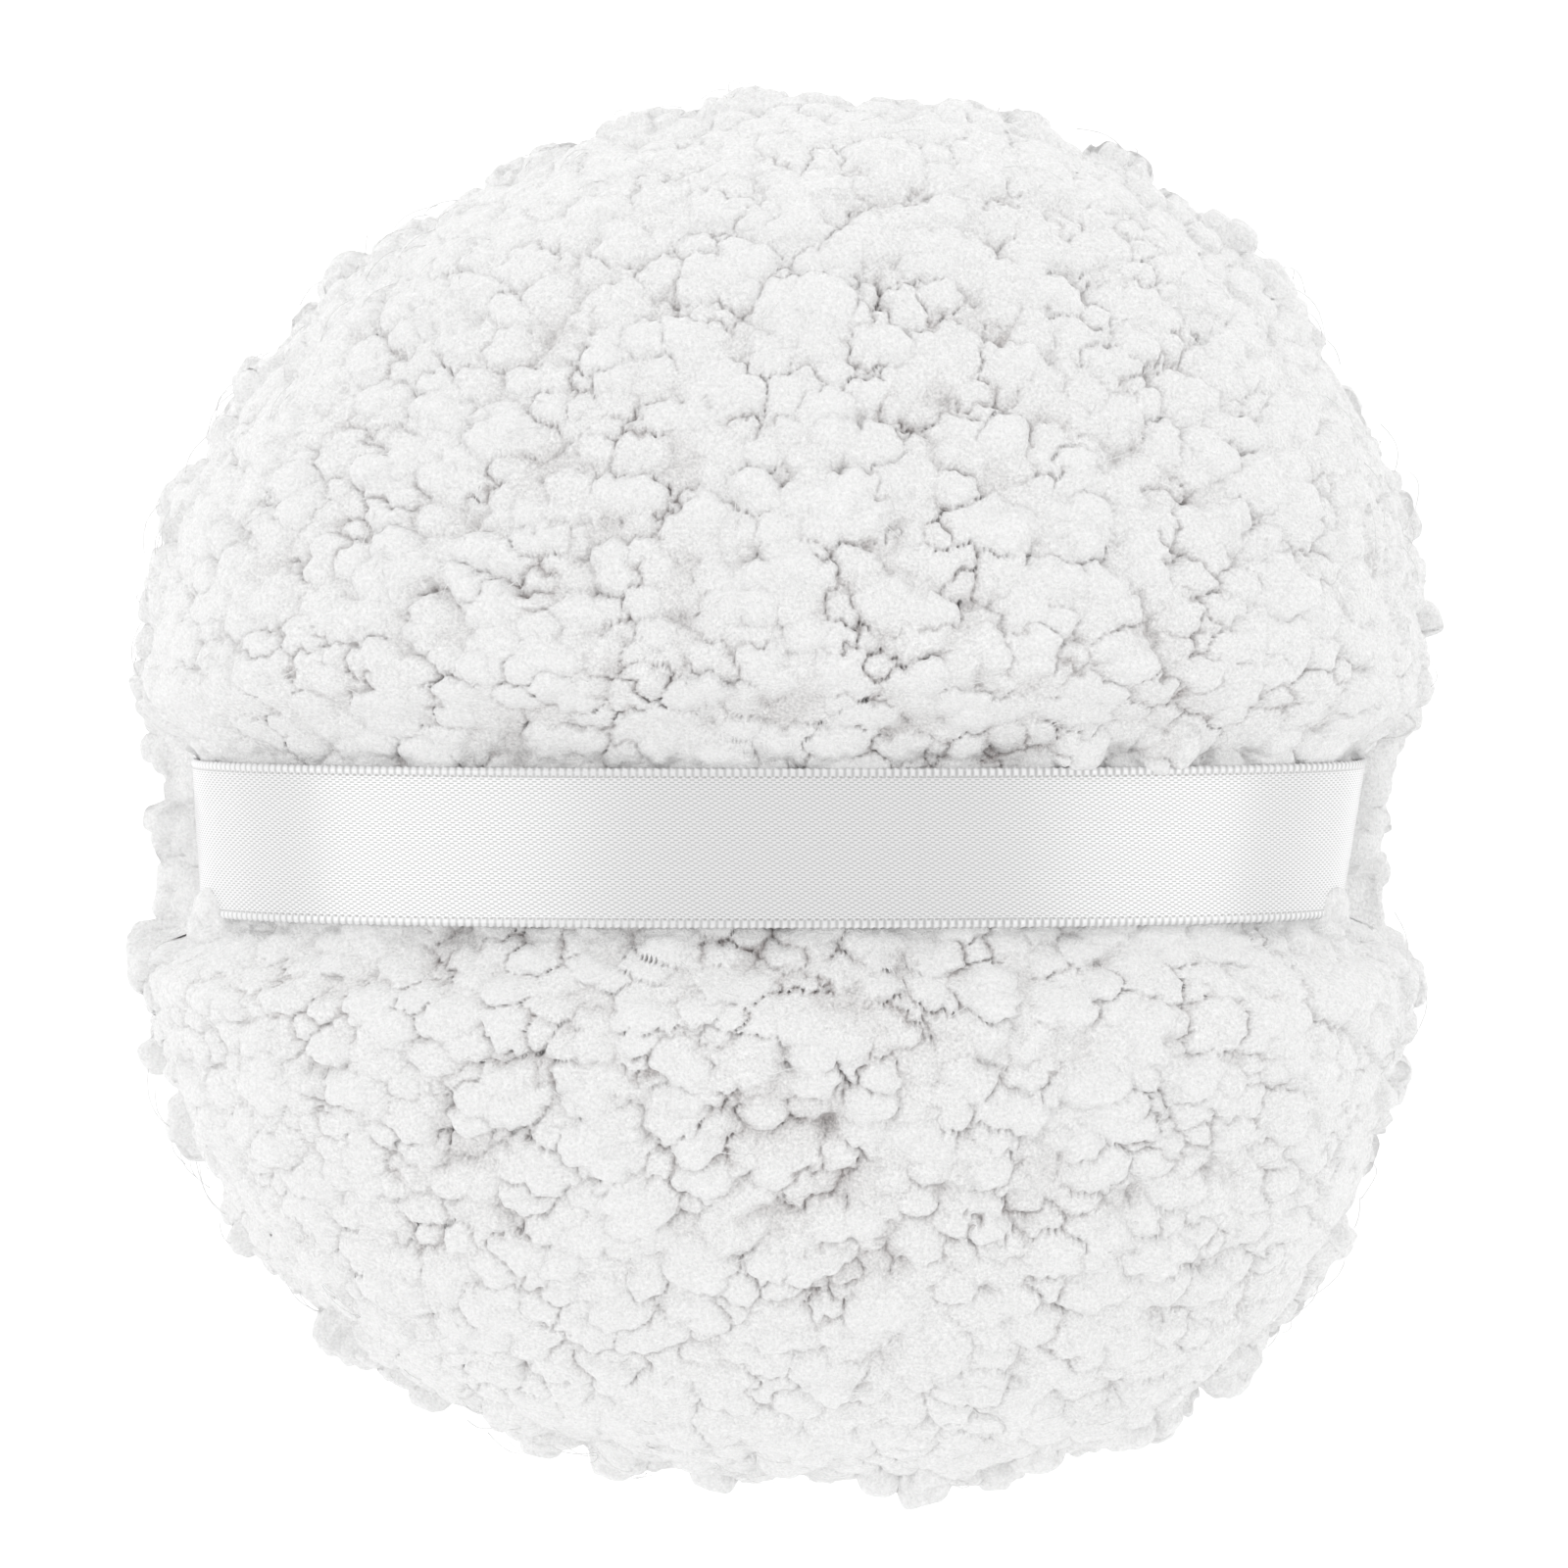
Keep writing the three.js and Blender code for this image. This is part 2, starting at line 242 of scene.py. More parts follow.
def form(side, turn, angle, inset):
    """The puff by two angles: turn from the crown (0) to the seam (a right angle), and angle around.

    The side is 1 on the back and -1 on the face. The plan is a superellipse less a bell-shaped waist at the
    strap, the section is a superellipse too, and the back has a bell-shaped valley along the strap. The inset
    is taken from the tips of the pile.
    """
    share = np.sin(turn) ** (2 / CROWN_POWER)
    lift = np.maximum(0, np.cos(turn)) ** (2 / CROWN_POWER)
    across = np.abs(np.cos(angle) / (PUFF_WIDTH / 2)) ** OUTLINE_POWER
    along = np.abs(np.sin(angle) / (PUFF_LENGTH / 2)) ** OUTLINE_POWER
    plain = (across + along) ** (-1 / OUTLINE_POWER)
    waist = WAIST_DEPTH * near_strap(plain * np.sin(angle), WAIST_REACH)
    radius = share * (plain - inset) - waist * share**WAIST_FADE
    rise = np.where(side > 0, BACK_RISE, FACE_DROP)
    dip = np.where(side > 0, STRAP_DIP, 0)
    x = radius * np.cos(angle)
    y = radius * np.sin(angle)
    z = (rise - inset) * lift - dip * lift * near_strap(y, DIP_REACH)
    return np.stack(np.broadcast_arrays(x, y, side * z), axis=-1)


def unit(vectors):
    """Vectors scaled to length 1."""
    return vectors / np.maximum(np.linalg.norm(vectors, axis=-1, keepdims=True), 1e-9)


def pile_form(side, turn, angle):
    """The form at the tips of the pile, which the soft puff's outline swells or draws in around the seam.

    The swell is a sum of cosines and sines of the angle around. Below the seam, the pile that the ribbon's
    ends press on swells too, by a bell curve about the strap. Both fade towards the crown as the waist does.
    """
    tips = form(side, turn, angle, 0)
    waves = enumerate(SWELL, 1)
    swell = SWELL_MEAN + sum(a * np.cos(k * angle) + b * np.sin(k * angle) for k, (a, b) in waves)
    below = np.clip(-tips[..., 2] / SEAM_HOLD, 0, 1)
    swell = swell + END_SWELL * below * near_strap(tips[..., 1], STRAP_WIDTH / 2)
    swell = swell * np.sin(turn) ** (2 * WAIST_FADE / CROWN_POWER)
    return tips + np.stack([swell * np.cos(angle), swell * np.sin(angle), 0 * swell], axis=-1)


def form_slopes(side, turn, angle):
    """The pile form's area per unit of the two angles, outward normal and direction away from the crown.

    The area and the normal are the cross product of the form's two slopes.
    """
    step = 1e-3
    later, earlier = np.minimum(turn + step, RIGHT_ANGLE), np.maximum(turn - step, 1e-4)
    down = (pile_form(side, later, angle) - pile_form(side, earlier, angle)) / (later - earlier)[:, None]
    around = (pile_form(side, turn, angle + step) - pile_form(side, turn, angle - step)) / (2 * step)
    cross = np.cross(down, around) * side[:, None]
    return np.linalg.norm(cross, axis=-1), unit(cross), unit(down)


def ripple(rng, points, wavelength, waves=24):
    """A smooth random field over points, about -1 to 1: the sum of plane waves in random directions."""
    lengths = wavelength * rng.uniform(0.7, 1.4, (waves, 1))
    ways = unit(rng.normal(size=(waves, 3))) * WHOLE_TURN / lengths
    phases = rng.uniform(0, WHOLE_TURN, waves)
    return np.cos(points @ ways.T + phases).sum(axis=-1) / math.sqrt(waves)


def smooth_step(value):
    """Runs from 0 to 1 as the value does, flat at both ends: three squares less two cubes."""
    share = np.clip(value, 0, 1)
    return share * share * (3 - 2 * share)


# Path of the strap

at_strap = math.atan2(STRAP_OFFSET, PUFF_WIDTH / 2)
STRAP_REACH, STRAP_END = form(1, RIGHT_ANGLE, at_strap, np.array([STRAP_PRESS, ALLOWANCE_INSET]))[:, 0]
STRAP_RISE = BACK_RISE - STRAP_DIP - STRAP_PRESS - FOLD_RADIUS


def strap_path():
    """Half of the ribbon's middle line, from the crown to its end: x, z and the length so far.

    It is an arch that is a quarter of a superellipse, a quarter circle where it folds into the seam, and a
    straight tail in the seam.
    """
    turn = np.linspace(0, RIGHT_ANGLE, 2000)
    arch_x = STRAP_REACH * np.sin(turn) ** (2 / CROWN_POWER)
    arch_z = FOLD_RADIUS + STRAP_RISE * np.maximum(0, np.cos(turn)) ** (2 / CROWN_POWER)
    bend = np.linspace(0, RIGHT_ANGLE, 40)[1:]
    x = np.concatenate([arch_x, STRAP_REACH - FOLD_RADIUS * (1 - np.cos(bend)), [STRAP_END]])
    z = np.concatenate([arch_z, FOLD_RADIUS * (1 - np.sin(bend)), [0]])
    run = np.concatenate([[0], np.cumsum(np.hypot(np.diff(x), np.diff(z)))])
    span_run = np.interp(SPAN_HALF, arch_x, run[: len(arch_x)])
    return x, z, run, span_run


PATH_X, PATH_Z, PATH_RUN, SPAN_RUN = strap_path()


def strap_line(length):
    """The ribbon's middle line at lengths from the crown, negative towards minus X.

    Gives places and normals, each as x and z.
    """
    at = np.abs(length)
    step = 0.05
    way_x = np.interp(at + step, PATH_RUN, PATH_X) - np.interp(at - step, PATH_RUN, PATH_X)
    way_z = np.interp(at + step, PATH_RUN, PATH_Z) - np.interp(at - step, PATH_RUN, PATH_Z)
    long = np.hypot(way_x, way_z)
    ahead = np.where(length < 0, -1, 1)
    x = ahead * np.interp(at, PATH_RUN, PATH_X)
    return x, np.interp(at, PATH_RUN, PATH_Z), -ahead * way_z / long, way_x / long


def slant(x, y):
    """How far the ribbon's end is drawn out: more the further towards plus Y, by the fourth power of x."""
    return np.where(x > 0, RIGHT_SLANT, -LEFT_SLANT) * (y - STRAP_OFFSET) * np.abs(x / STRAP_REACH) ** 4


def ribbon_level(points, margin):
    """How far out a point lies against the ribbon's arch less a margin, by its superellipse: 1 on it."""
    x = points[..., 0] - slant(points[..., 0], points[..., 1])
    over = np.maximum(points[..., 2] - FOLD_RADIUS, 0)
    sideways = np.abs(x / (STRAP_REACH - margin)) ** CROWN_POWER
    return (sideways + (over / (STRAP_RISE - margin)) ** CROWN_POWER) ** (1 / CROWN_POWER)


def ribbon_hold(points):
    """How firmly the ribbon holds the pile down: wholly below it, and not at all a few millimetres away.

    It is a smooth step of the distance from the ribbon's edge, over a wider reach higher up, and less in a
    straight line below the seam.
    """
    low, high = PRESS_REACH
    reach = low + (high - low) * np.clip(points[:, 2] / STRAP_RISE, 0, 1)
    beside = (np.abs(points[:, 1] - STRAP_OFFSET) - STRAP_WIDTH / 2 + PRESS_EDGE) / reach
    return (1 - smooth_step(beside)) * (1 - np.clip(-points[:, 2] / SEAM_HOLD, 0, 1))


def press_under_ribbon(points):
    """Brings points past the ribbon's arch in towards it along their rays, as far as it holds them."""
    x, y, z = points.T
    level = ribbon_level(points, PRESS_CLEARANCE)
    squeeze = 1 + np.maximum(level - 1, 0) * ribbon_hold(points)
    over = np.maximum(z - FOLD_RADIUS, 0)
    return np.stack([x / squeeze, y, z - over + over / squeeze], axis=-1)


# Meshes


def tube_faces(rows, columns):
    """Quads of a tube of rows by columns, with both open ends closed by quads across them."""
    row, column = np.meshgrid(np.arange(rows - 1), np.arange(columns), indexing="ij")
    after = (column + 1) % columns
    low, high = row * columns, (row + 1) * columns
    sides = np.stack([low + column, low + after, high + after, high + column], axis=-1).reshape(-1, 4)
    k = np.arange(columns // 2 - 1)
    cap = np.stack([k, columns - 1 - k, columns - 2 - k, k + 1], axis=-1)
    return np.vstack([sides, cap, cap[:, ::-1] + (rows - 1) * columns])


def new_piece(name, points, faces, material):
    """An object at the origin, from quads and points in millimetres about the seam, in one material."""
    mesh = bpy.data.meshes.new(name)
    placed = (points + (0, 0, SEAM_HEIGHT)) / METRE
    mesh.vertices.add(len(placed))
    mesh.vertices.foreach_set("co", placed.astype(np.float32).ravel())
    mesh.loops.add(faces.size)
    mesh.loops.foreach_set("vertex_index", faces.astype(np.int32).ravel())
    mesh.polygons.add(len(faces))
    mesh.polygons.foreach_set("loop_start", np.arange(0, faces.size, 4, dtype=np.int32))
    mesh.update(calc_edges=True)
    mesh.polygons.foreach_set("use_smooth", np.ones(len(faces), bool))
    mesh.materials.append(material)
    piece = bpy.data.objects.new(name, mesh)
    bpy.context.scene.collection.objects.link(piece)
    return piece


def set_map(piece, name, corners):
    """A flat map of a piece: a place for each corner of each quad."""
    layer = piece.data.uv_layers.new(name=name)
    layer.uv.foreach_set("vector", corners.astype(np.float32).ravel())


# Tufts


def throw_darts(rng, count):
    """Sides, turns and angles that fall evenly over both halves: kept in proportion to the area of each."""
    side = np.where(rng.random(count) < 0.5, 1, -1)
    turn = rng.uniform(0.01, RIGHT_ANGLE - 0.01, count)
    angle = rng.uniform(0, WHOLE_TURN, count)
    area = form_slopes(side, turn, angle)[0]
    stay = rng.random(count) < area / np.percentile(area, 99)
    return np.stack([side, turn, angle])[:, stay]


def clear_ones(places, widths, crowding):
    """Which of the darts stay: in turn, each that is clear of those that stay already, by their widths."""
    kept = np.empty((len(places), 4))
    chosen = []
    for k, place in enumerate(places):
        others = kept[: len(chosen)]
        gaps = np.linalg.norm(others[:, :3] - place, axis=1) - crowding * (others[:, 3] + widths[k])
        if not (gaps < 0).any():
            kept[len(chosen)] = *place, widths[k]
            chosen.append(k)
    return np.array(chosen)


def scatter_tufts(rng):
    """Tufts over the whole puff: some by the ribbon first, then full ones, and small ones in the gaps.

    Each has a place, two directions along the surface, the first of them away from the crown, a half width, a
    height, and a slope in each direction, mostly up away from the crown. A few small ones have sunk.
    """
    lots = [np.array(EDGE_TUFTS).T[:3], throw_darts(rng, FULL_DARTS), throw_darts(rng, SMALL_DARTS)]
    sizes = (EDGE_TUFT_WIDTHS, FULL_TUFTS, SMALL_TUFTS)
    widths = np.concatenate([rng.uniform(*size, lot.shape[1]) for size, lot in zip(sizes, lots)])
    side, turn, angle = np.hstack(lots)
    chosen = clear_ones(pile_form(side, turn, angle) * TUFT_STRETCH, widths, TUFT_CROWDING)
    side, turn, angle, count = side[chosen], turn[chosen], angle[chosen], len(chosen)
    place = press_under_ribbon(pile_form(side, turn, angle))
    _, out, ahead = form_slopes(side, turn, angle)
    rim = np.clip((turn - RIM_START) / RIM_BAND, 0, 1)
    apart = place[:, 1] - STRAP_OFFSET
    sunk = (rng.random(count) < PITS) & (widths[chosen] < SMALL_TUFTS[1]) & (np.abs(apart) > STRAP_WIDTH)
    return {
        "place": place,
        "ahead": ahead,
        "aside": np.cross(out, ahead),
        "width": widths[chosen],
        "height": rng.normal(0, 1, count) * (TUFT_SPREAD + RIM_SPREAD * rim) - PIT_DEPTH * sunk,
        "slope": rng.normal((TUFT_SLOPE, 0), SLOPE_SPREAD, (count, 2)),
    }


def nearest_tufts(points, tufts, at_once=2000):
    """For each point the tuft that it lies furthest into, by stretched distance over width."""
    place, width = (tufts["place"] * TUFT_STRETCH).astype(np.float32), tufts["width"].astype(np.float32)
    found = []
    for lot in np.array_split((points * TUFT_STRETCH).astype(np.float32), max(1, len(points) // at_once)):
        square = (lot**2).sum(axis=1)[:, None] + (place**2).sum(axis=1) - 2 * lot @ place.T
        found.append((square / width**2).argmin(axis=1))
    return np.concatenate(found)


def scatter_florets(rng, points, tufts):
    """The small lumps that tufts are made of: one at random in each cell of a lattice about the points.

    Gives their places, the tuft that each belongs to, their heights, and the numbers of the 27 about each
    point. A floret stands as its tuft does there: the tuft's height and slopes, less a shoulder by the sixth
    power of the distance from the tuft's middle, which is smaller on the side of the crown.
    """
    cells = 128
    home = np.floor(points * TUFT_STRETCH / FLORET_SIZE).astype(int) + cells // 2
    steps = np.array(list(np.ndindex(3, 3, 3))) - 1
    key = ((home[:, None] + steps) * (cells * cells, cells, 1)).sum(axis=-1)
    used, numbers = np.unique(key, return_inverse=True)
    corner = np.stack(np.unravel_index(used, (cells,) * 3), axis=-1) - cells // 2
    place = (corner + rng.random(corner.shape)) * FLORET_SIZE / TUFT_STRETCH
    owner = nearest_tufts(place, tufts)
    offset = place - tufts["place"][owner]
    ahead = (offset * tufts["ahead"][owner]).sum(axis=-1)
    aside = (offset * tufts["aside"][owner]).sum(axis=-1)
    out = np.linalg.norm(offset * TUFT_STRETCH, axis=-1) / tufts["width"][owner]
    slope = tufts["slope"][owner]
    height = tufts["height"][owner] + slope[:, 0] * ahead + slope[:, 1] * aside
    shoulder = TUFT_SHOULDER * np.where(ahead > 0, 1, CROWN_SHOULDER)
    height += rng.normal(0, FLORET_SPREAD, len(place)) - shoulder * np.minimum(out, SHOULDER_END) ** 6
    return place, owner, height, numbers.reshape(key.shape)


def tuft_heights(points, tufts, rng):
    """Height of the pile over each point of the form, and how far into a groove it lies.

    Each floret is a dome that falls by the fourth power of the distance from its middle, and the highest at a
    point shows. A groove runs where the highest domes of two tufts are level, by the exponential of what the
    lower one lacks, and fades in and out. The points are shaken first, which makes the outlines ragged, and
    whole clumps rise and sink a little.
    """
    shake = [sum(far * ripple(rng, points, wave) for far, wave in SHAKE) for _ in range(3)]
    shaken = points + np.stack(shake, axis=-1)
    place, owner, top, numbers = scatter_florets(rng, shaken, tufts)
    best = np.full(len(points), -9.0)
    other = best.copy()
    mine = np.zeros(len(points), int)
    for number in numbers.T:
        distance = np.linalg.norm((shaken - place[number]) * TUFT_STRETCH, axis=-1)
        dome = top[number] + FLORET_RISE * (1 - (distance / FLORET_REACH) ** 4)
        foreign = owner[number] != mine
        other = np.where(foreign, np.maximum(other, np.minimum(dome, best)), other)
        mine = np.where(dome > best, owner[number], mine)
        best = np.maximum(best, dome)
    groove = np.exp((other - best) / GROOVE_WIDTH) * np.clip(0.5 + ripple(rng, points, GROOVE_RUN), 0, 1.2)
    height = best - GROOVE_DEPTH * groove - MEAN_TOP + CLUMP_RISE * ripple(rng, points, CLUMP_SIZE)
    return np.maximum(height, -PILE_FLOOR), groove


# Pile


def lift_beside_ribbon(points, height, tufts):
    """Height of the pile with the ribbon on it: flat below it, but a few tufts lie over it or past its ends.

    Those, the first of the tufts, are raised as far as the ribbon holds the pile there, by half a ball about
    their middles, and keep a part of their own relief.
    """
    hold = ribbon_hold(points)
    lapping = slice(len(EDGE_TUFTS))
    away = np.linalg.norm(points[:, None] - tufts["place"][lapping], axis=-1) / tufts["width"][lapping]
    ball = (np.array(EDGE_TUFTS)[:, 3] * np.sqrt(np.maximum(1 - away**2, 0))).max(axis=1)
    return np.minimum(height, PRESSED_TOP + FREE_RISE * (1 - hold) + LAP_RELIEF * ball) + ball * hold


def disc_grid(steps):
    """A disc as a square grid: each point's share of the radius, direction and place on the square.

    The quads and the rim's points follow. Each square ring of the grid becomes a circle, and even steps along
    the square are even steps in direction.
    """
    a, b = np.meshgrid(np.linspace(-1, 1, steps + 1), np.linspace(-1, 1, steps + 1), indexing="ij")
    wide = np.abs(a) > np.abs(b)
    far = np.where(wide, a, b)
    safe = np.where(far == 0, 1, far)
    angle = np.where(wide, b / safe, 2 - a / safe) * math.pi / 4 + np.where(far < 0, math.pi, 0)
    index = np.arange((steps + 1) ** 2).reshape(steps + 1, -1)
    faces = np.stack([index[:-1, :-1], index[1:, :-1], index[1:, 1:], index[:-1, 1:]], axis=-1).reshape(-1, 4)
    rim = np.concatenate([index[:-1, 0], index[-1, :-1], index[:0:-1, -1], index[0, :0:-1]])
    place = np.stack([a, b], axis=-1).reshape(-1, 2) / 2 + 0.5
    return np.abs(far).ravel(), angle.ravel(), place, faces, rim


def pile_surface(rng, side, far, angle):
    """The tufted surface of the back and of the face over their disc grids: points, normals and painted
    shading.

    The grids' rings are spread evenly along the form from crown to seam. Each point is moved out along the
    form's normal by the height of its tuft, more so near the seam, and away from the crown the more the
    higher it stands, so tufts lean over. At the seam the halves lap a little, and there are no deep pits. The
    relief is flatter between the crown and the outline, and rougher in a bell-shaped patch where the pile is
    loose. A point's painted shading is darker the lower it lies and the further into a groove, for the shadow
    in the pile's hollows, and fades towards the seam as painted light, where light comes through the tips.
    """
    tufts = scatter_tufts(rng)
    turns = np.linspace(0, RIGHT_ANGLE, 400)
    arc = np.linalg.norm(np.diff(form(1, turns, 0.8, 0), axis=0), axis=1).cumsum()
    turn = np.interp(far, np.concatenate([[0], arc / arc[-1]]), turns).clip(1e-3)
    bed = press_under_ribbon(pile_form(side, turn, angle))
    _, out, ahead = form_slopes(side, turn, angle)
    height, groove = tuft_heights(bed, tufts, rng)
    loose = 1 + LOOSE_RISE * np.exp(-((np.linalg.norm(bed - LOOSE_PLACE, axis=-1) / LOOSE_REACH) ** 2))
    near_seam = np.clip((turn - RIM_START) / SEAM_BAND, 0, 1)
    deepest = (PILE_FLOOR - SEAM_FLOOR) * near_seam - PILE_FLOOR
    height = np.maximum(height * np.interp(turn, *RELIEF) * loose, deepest)
    # Painted shading: darker the lower the pile and the further into a groove, faded towards the seam as
    # painted light
    painted_shade = (HEIGHT_PAINTED_SHADE * height - GROOVE_PAINTED_SHADE * groove * loose) * np.interp(turn, *PAINTED_SHADE_FADE)
    lift = lift_beside_ribbon(bed, height, tufts)
    lift += RIM_RISE * near_seam * np.maximum(lift, 0) * (1 - ribbon_hold(bed))
    upright = np.clip(turn / UPRIGHT_CROWN, 0, 1) * np.clip((RIGHT_ANGLE - turn) / UPRIGHT_SEAM, 0, 1)
    lean = TUFT_LEAN * np.clip(height - LEAN_FROM, 0, LEAN_MOST) * upright * (1 - ribbon_hold(bed))
    points = bed + out * lift[:, None] + ahead * lean[:, None]
    points[:, 2] -= side * SEAM_LAP * np.clip((turn - RIGHT_ANGLE) / LAP_BAND + 1, 0, 1)
    points[:, 2] = np.maximum(points[:, 2], TABLE)
    return points, out, painted_shade


def pile_lining(side, angle, rim, first):
    """The inner wall of a half of the pile: rings from its rim over the ground to the crown.

    Its points follow the number first. Gives them with their quads and the quads' corners on a flat map,
    where the rings lie in a strip along the top edge.
    """
    rings = 10
    turns = np.linspace(RIGHT_ANGLE, 0.04, rings)
    points = form(side, turns[:, None], angle, PILE_DEPTH)
    points[..., 2] = np.maximum(points[..., 2], TABLE + 0.2)
    columns = len(angle)
    numbers = np.vstack([rim, first + np.arange(points[..., 0].size).reshape(-1, columns)])
    after = np.roll(numbers, -1, axis=1)
    strips = np.stack([after[:-1], numbers[:-1], numbers[1:], after[1:]], axis=-1).reshape(-1, 4)
    k = np.arange(columns // 2 - 1)
    last = numbers[-1]
    cap = np.stack([last[columns - 1 - k], last[columns - 2 - k], last[k + 1], last[k]], axis=-1)
    row, column = np.meshgrid(np.arange(rings), np.arange(columns), indexing="ij")
    u = np.stack([column + 1, column, column, column + 1], axis=-1).reshape(-1, 4) / columns
    v = np.stack([row, row, row + 1, row + 1], axis=-1).reshape(-1, 4) / rings
    cap_u = np.stack([k, k + 1, k + 1, k], axis=-1) / (columns // 2)
    cap_v = np.broadcast_to([1.05, 1.05, 1.2, 1.2], cap_u.shape)
    corners = np.stack([np.vstack([u, cap_u]), np.vstack([v, cap_v])], axis=-1)
    return points.reshape(-1, 3), np.vstack([strips, cap]), corners * (1, 0.04) + (0, 0.95)


def fleece_halves(rng, material):
    """The pile of the back and of the face, with its painted shading as an attribute, and what its surface is
    like.
    """
    grids = [disc_grid(steps) for steps in (BACK_STEPS, FACE_STEPS)]
    counts = [len(grid[0]) for grid in grids]
    far, angle = (np.concatenate([grid[k] for grid in grids]) for k in (0, 1))
    surface, out, painted_shade = pile_surface(rng, np.repeat([1, -1], counts), far, angle)
    halves = (("back_fleece", 1, grids[0], 0), ("face_fleece", -1, grids[1], counts[0]))
    pieces = []
    for name, side, grid, first in halves:
        _, angle, place, faces, rim = grid
        mine = slice(first, first + len(angle))
        lining, lining_faces, lining_map = pile_lining(side, angle[rim], rim, len(angle))
        quads = np.vstack([faces, lining_faces])
        corners = np.vstack([place[faces] * 0.94, lining_map])
        if side < 0:
            quads, corners = quads[:, ::-1], corners[:, ::-1]
        piece = new_piece(name, np.vstack([surface[mine], lining]), quads, material)
        set_map(piece, "OFBake", corners)
        # The painted shading goes on as an attribute; the inner wall gets the darkest painted shading, as it
        # lies in shadow
        attribute = piece.data.attributes.new("painted_shade", "FLOAT", "POINT")
        values = np.concatenate([painted_shade[mine], np.full(len(lining), LINING_PAINTED_SHADE)])
        attribute.data.foreach_set("value", values.astype(np.float32))
        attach(piece, "puff")
        pieces.append(piece)
    return pieces, surface, out, painted_shade


def loose_fibres(name, rng, surface, out, painted_shade, material):
    """Single fibres that have worked loose and lie over the tufts: thin tubes with both ends in the pile.

    Each runs from a point of the surface along it, bent to one side by a parabola, lifted by half a sine wave
    and drooping by a parabola.
    """
    steps, sides = 7, 4
    clear = np.abs(surface[:, 1] - STRAP_OFFSET) > STRAP_WIDTH / 2 + FIBRE_CLEARANCE
    # Roots only where the painted shading is light, on the higher tufts
    roots = rng.choice(np.flatnonzero((painted_shade > 0) & clear), FIBRE_COUNT)
    along = unit(np.cross(out[roots], rng.normal(size=(FIBRE_COUNT, 3))))[:, None]
    aside = np.cross(out[roots][:, None], along)
    length = rng.uniform(*FIBRE_LENGTH, (FIBRE_COUNT, 1, 1))
    bend = rng.normal(0, FIBRE_BEND, (FIBRE_COUNT, 1, 1)) * length
    s = np.linspace(0, 1, steps)[None, :, None]
    lift = FIBRE_ARCH * length * np.sin(math.pi * s) - FIBRE_ROOT - FIBRE_DROOP * (length * s) ** 2
    middle = surface[roots][:, None] + along * length * s + aside * bend * s * s + out[roots][:, None] * lift
    way = unit(np.gradient(middle, axis=1))
    flat = unit(np.cross(way, out[roots][:, None]))
    turn = np.arange(sides) * WHOLE_TURN / sides
    ring = flat[:, :, None] * np.cos(turn)[:, None] + np.cross(way, flat)[:, :, None] * np.sin(turn)[:, None]
    points = middle[:, :, None] + FIBRE_RADIUS * ring
    points[..., 2] = np.maximum(points[..., 2], TABLE + 2 * FIBRE_RADIUS * (0.5 + 0.5 * ring[..., 2]))
    starts = np.arange(FIBRE_COUNT) * steps * sides
    faces = (tube_faces(steps, sides)[None] + starts[:, None, None]).reshape(-1, 4)
    piece = new_piece(name, points.reshape(-1, 3), faces, material)
    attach(piece, "puff")
    return piece


# Ribbon


def ribbon_section(length):
    """A closed section across the ribbon at each length: its places across and its heights.

    The selvedge's cord is a bell-shaped swelling near each edge, which goes in and out with the weft's turns.
    """
    half = STRAP_WIDTH / 2
    even = np.linspace(-1, 1, 15)[1:-1] * (half - 2 * SELVEDGE)
    rim = half - SELVEDGE * np.array([1.6, 1.2, 0.9, 0.6, 0.35, 0.15, 0.0])
    across = np.concatenate([-rim[::-1], even, rim])
    beat = np.cos(WHOLE_TURN * length / SELVEDGE_PITCH)[:, None]
    cord = np.exp(-(((np.abs(across) - half + 0.5 * SELVEDGE) / (0.3 * SELVEDGE)) ** 2))
    height = RIBBON_HALF_THICKNESS + cord * (CORD_RISE + CORD_BEAT * beat)
    height = height * np.sqrt(np.clip((half - np.abs(across)) / (0.25 * SELVEDGE), 0.01, 1))
    inside = np.clip((np.abs(across) - half) / SELVEDGE + 1, 0, 1)
    swing = across + np.sign(across) * inside * CORD_SWING * beat
    swing = np.broadcast_to(swing, height.shape)
    return np.hstack([swing, swing[:, ::-1]]), np.hstack([height, -height[:, ::-1]])


def ribbon(name, start, end, rise, material):
    """A stretch of the ribbon from one length to a later one, with its length and width as a map.

    The rise is how far it lies above the middle line.
    """
    rows = round((end - start) / RIBBON_STEP) + 1
    length = np.linspace(start, end, rows)
    x, z, up_x, up_z = (value[:, None] for value in strap_line(length))
    across, height = ribbon_section(length)
    height = height + rise
    y = STRAP_OFFSET + across
    points = np.stack([x + slant(x, y) + up_x * height, y, z + up_z * height], axis=-1)
    faces = tube_faces(rows, across.shape[1])[:, ::-1]
    piece = new_piece(name, points.reshape(-1, 3), faces, material)
    piece.data.set_sharp_from_angle(angle=math.radians(60))
    weave = np.stack(np.broadcast_arrays(length[:, None], across), axis=-1).reshape(-1, 2)
    set_map(piece, "weave", weave[faces])
    return piece


# Ground cloth and filling


def turned_rows(side, insets, levels, columns):
    """Rings round the puff at the seam, each at an inset and a level."""
    angle = np.arange(columns) * WHOLE_TURN / columns
    rings = [form(side, RIGHT_ANGLE, angle, inset) for inset in insets]
    for ring, level in zip(rings, levels):
        ring[:, 2] = side * level
    return np.array(rings)


def dome_rows(side, inset, foot, columns, rows=26):
    """Rings of a half from the crown to a foot level above the seam."""
    turn = np.linspace(0.03, RIGHT_ANGLE, rows)[:, None]
    angle = np.arange(columns) * WHOLE_TURN / columns
    rings = form(side, turn, angle, inset)
    rings[..., 2] = side * np.maximum(side * rings[..., 2], foot)
    return rings


